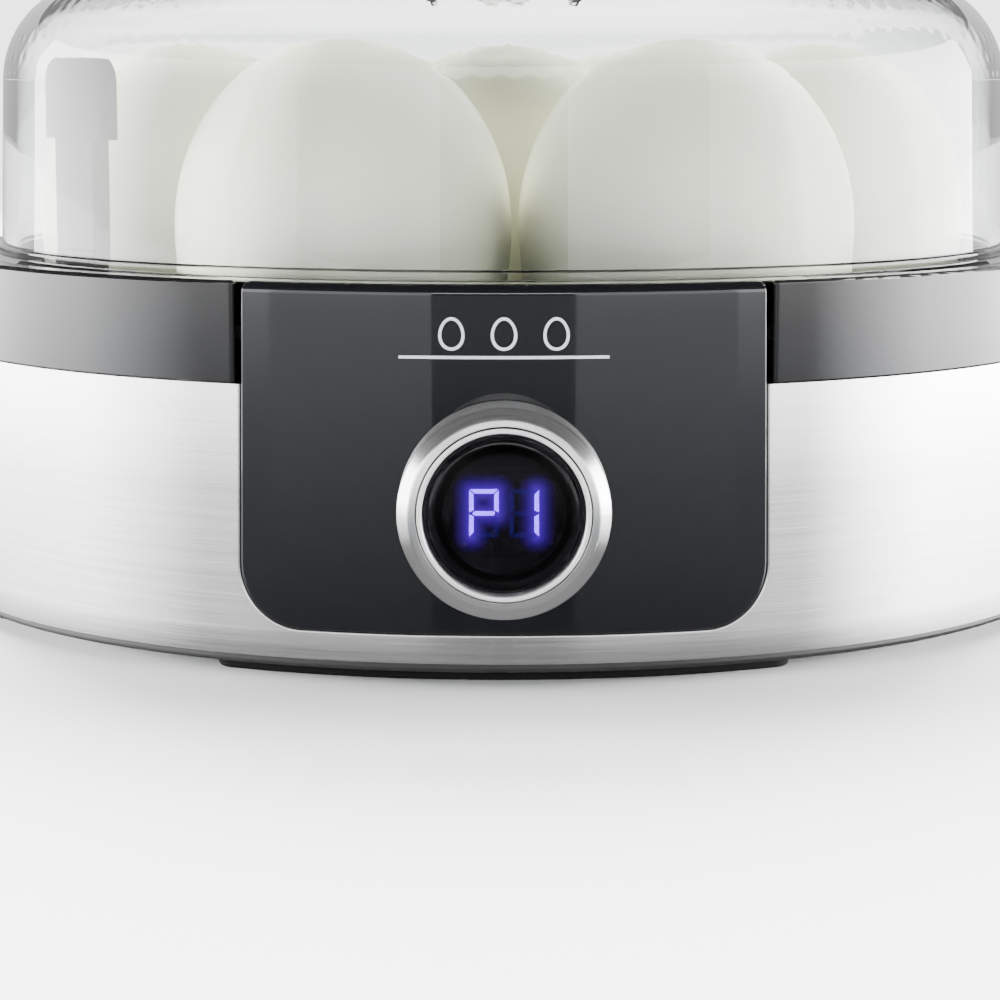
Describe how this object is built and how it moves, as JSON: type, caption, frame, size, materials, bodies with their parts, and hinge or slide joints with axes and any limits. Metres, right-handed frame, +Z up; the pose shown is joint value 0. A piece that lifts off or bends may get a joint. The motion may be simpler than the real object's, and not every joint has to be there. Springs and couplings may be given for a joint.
{
  "type": "egg cooker",
  "caption": "Round electric egg cooker with a brushed steel base, glossy front panel with a turning and pressing display knob, clear domed lid and an egg carrier.",
  "frame": {"origin": "on the table, under the middle of the object's bounding box; the round base's axis is 2.55 mm behind it", "axes": "+Z up, -Y towards the front panel and knob, +X to the viewer's right"},
  "size_m": [0.1674, 0.182, 0.1164],
  "materials": {
    "brushed_steel": "fine horizontal brushing",
    "satin_black": "satin moulded plastic",
    "gloss_black": "high gloss",
    "black_abs": "fine grained moulded plastic",
    "knob_aluminium": "turned, brushed in circles, bright chamfer",
    "knob_trim": "polished",
    "smoked_lens": "smoked, glossy",
    "digit_lit": "glowing",
    "digit_dark": "unlit",
    "display_case": "satin",
    "foot_rubber": "matt",
    "silicone": "translucent grey",
    "bowl_metal": "satin coated",
    "element_metal": "dull",
    "clear_lid": "clear plastic",
    "egg_shell": "smooth pale shell",
    "carrier_plastic": "satin",
    "diffuser_film": "tinted film",
    "circuit_board": "solder mask",
    "component_black": "moulded",
    "component_yellow": "moulded",
    "ferrite": "sintered",
    "spring_steel": "plain sheet",
    "screw_steel": "zinc plated",
    "white_nylon": "moulded",
    "wire_sheath": "smooth",
    "ribbon_sheath": "ribbed",
    "brass": "machined",
    "fuse_body": "ceramic-like"
  },
  "bodies": {
    "base": {"steel_band": "brushed_steel", "upper_collar": "satin_black", "front_panel": "gloss_black", "bottom_cover": "black_abs", "rubber_feet": "foot_rubber", "cord_gland": "foot_rubber", "base_housing": "black_abs", "rim_ring": "satin_black", "rim_screws": "screw_steel", "bottom_screws": "screw_steel", "heating_bowl": "bowl_metal", "bowl_gasket": "silicone", "heating_element": "element_metal", "thermostat": "component_black", "thermostat_clip": "spring_steel", "thermal_fuse": "fuse_body", "heat_shield": "spring_steel", "power_board": "circuit_board", "power_standoffs": "brass", "power_board_screws": "screw_steel", "relay": "component_black", "capacitor": "component_yellow", "transformer": "ferrite", "buzzer": "component_black", "terminal_block": "white_nylon", "mains_wires": "wire_sheath", "ribbon_cable": "ribbon_sheath", "control_board": "circuit_board", "control_board_screws": "screw_steel", "encoder_body": "component_black", "display_mount": "black_abs", "display_module": "display_case", "digits_lit": "digit_lit", "digits_dark": "digit_dark", "display_film": "diffuser_film", "tact_switches": "component_black"},
    "knob": {"knob_ring": "knob_aluminium", "knob_trim_ring": "knob_trim", "knob_sleeve": "black_abs"},
    "encoder": {"encoder_pinion": "white_nylon"},
    "button": {"button_lens": "smoked_lens", "button_carrier": "black_abs"},
    "carrier": {"egg_carrier": "carrier_plastic", "carrier_handles": "carrier_plastic", "eggs": "egg_shell"},
    "lid": {"lid_shell": "clear_lid", "lid_knob": "satin_black", "lid_knob_inlay": "brushed_steel", "lid_knob_washer": "silicone", "lid_knob_screw": "screw_steel"}
  },
  "joints": [
    {"name": "knob_turn", "type": "hinge", "parent": "base", "child": "knob", "pos_m": [0, -0.08545, 0.0233], "axis": [0, -1, 0], "continuous": true},
    {"name": "encoder_turn", "type": "hinge", "parent": "base", "child": "encoder", "pos_m": [0.01229, -0.07345, 0.0147], "axis": [0, -1, 0], "continuous": true},
    {"name": "button_press", "type": "slide", "parent": "base", "child": "button", "axis": [0, 1, 0], "range_m": [0, 0.0006], "stiffness_N_per_m": 1500},
    {"name": "carrier_lift", "type": "slide", "parent": "base", "child": "carrier", "axis": [0, 0, 1], "range_m": [0, 0.08]},
    {"name": "lid_lift", "type": "slide", "parent": "carrier", "child": "lid", "axis": [0, 0, 1], "range_m": [0, 0.08]}
  ],
  "couplings": [
    {"joint": "encoder_turn", "follows": "knob_turn", "ratio": -4}
  ]
}
